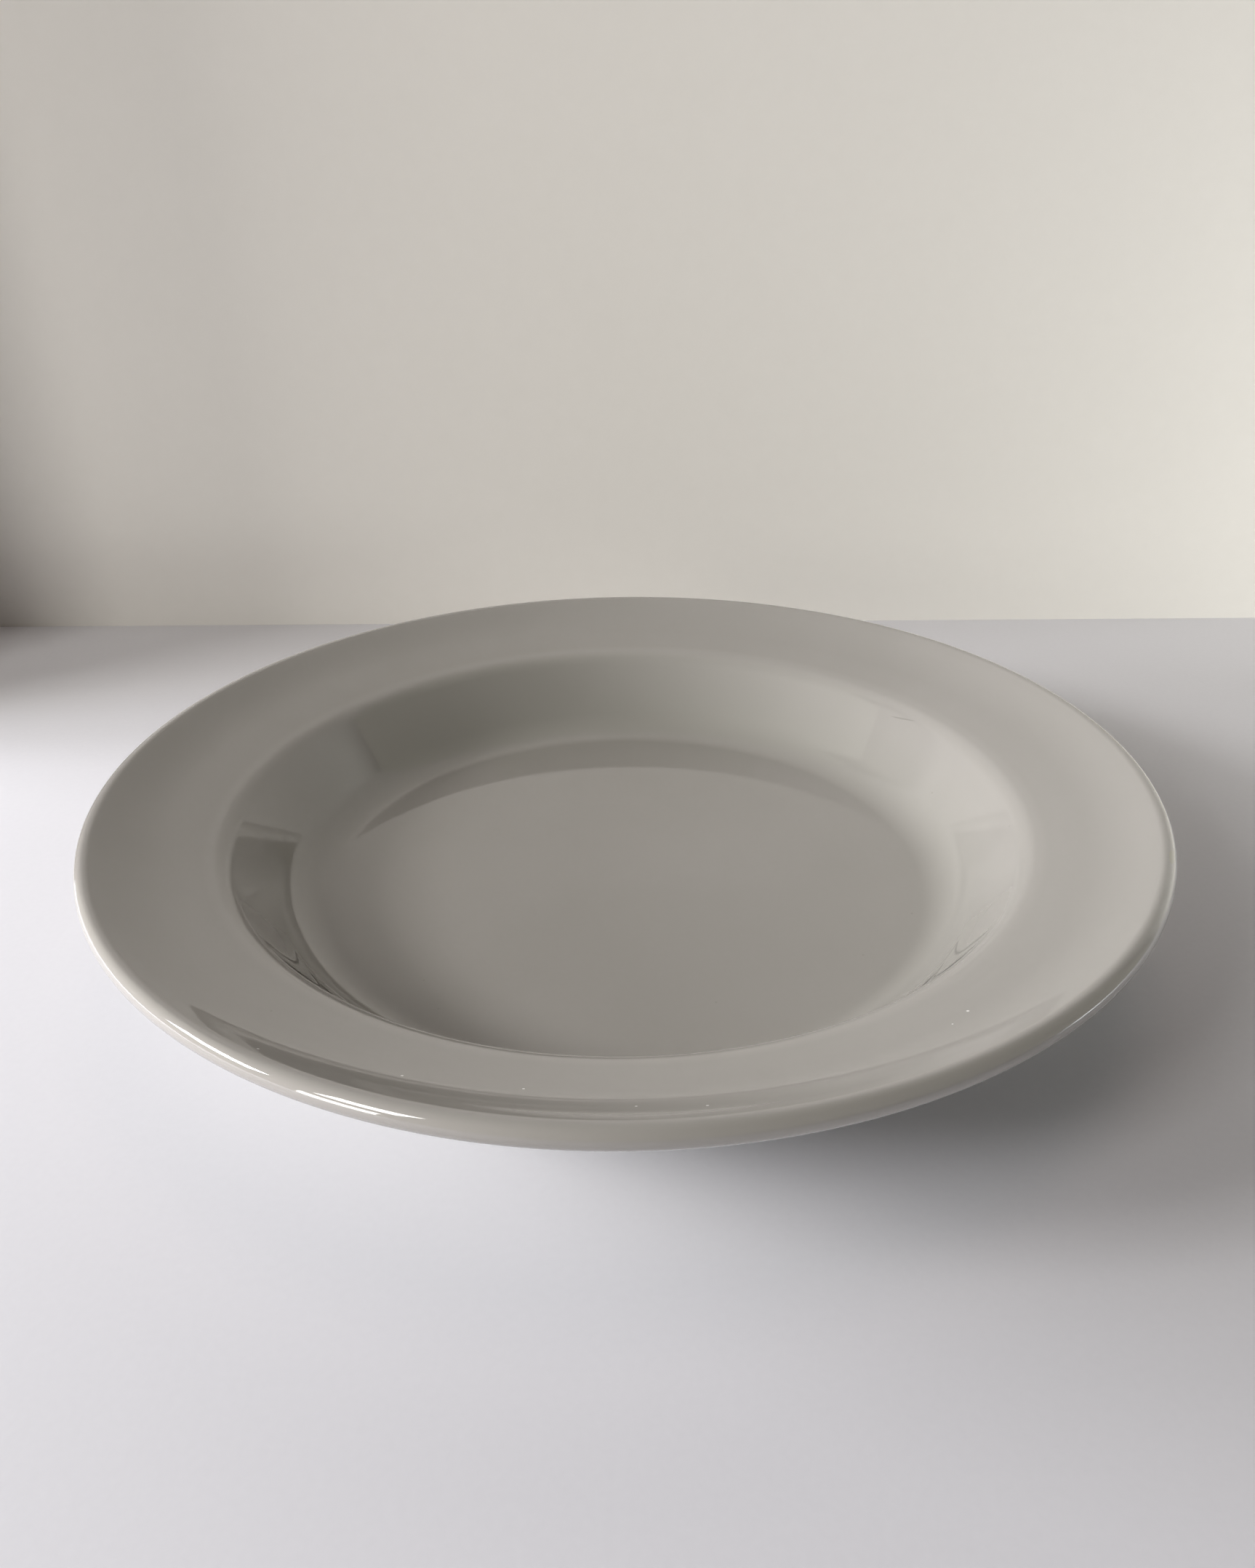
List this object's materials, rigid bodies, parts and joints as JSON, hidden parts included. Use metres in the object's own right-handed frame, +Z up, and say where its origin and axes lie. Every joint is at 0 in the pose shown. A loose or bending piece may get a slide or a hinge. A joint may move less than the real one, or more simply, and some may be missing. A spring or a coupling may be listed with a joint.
{
  "type": "soup plate",
  "caption": "Round rimmed soup plate with a wide rim that curls up towards the lip, a deep flat-floored well and a low foot ring, in glossy pale warm grey stoneware.",
  "frame": {"origin": "centre of the foot ring's bottom face, on the plate's axis, at table level", "axes": "+Z up along the axis the plate is turned about, out of the well; X and Y are any two level directions"},
  "size_m": [0.23, 0.23, 0.037],
  "materials": {
    "glaze": "glossy clear-coated glaze, bare matt body on the bottom of the foot ring"
  },
  "bodies": {
    "root": {"plate": "glaze"}
  },
  "joints": []
}
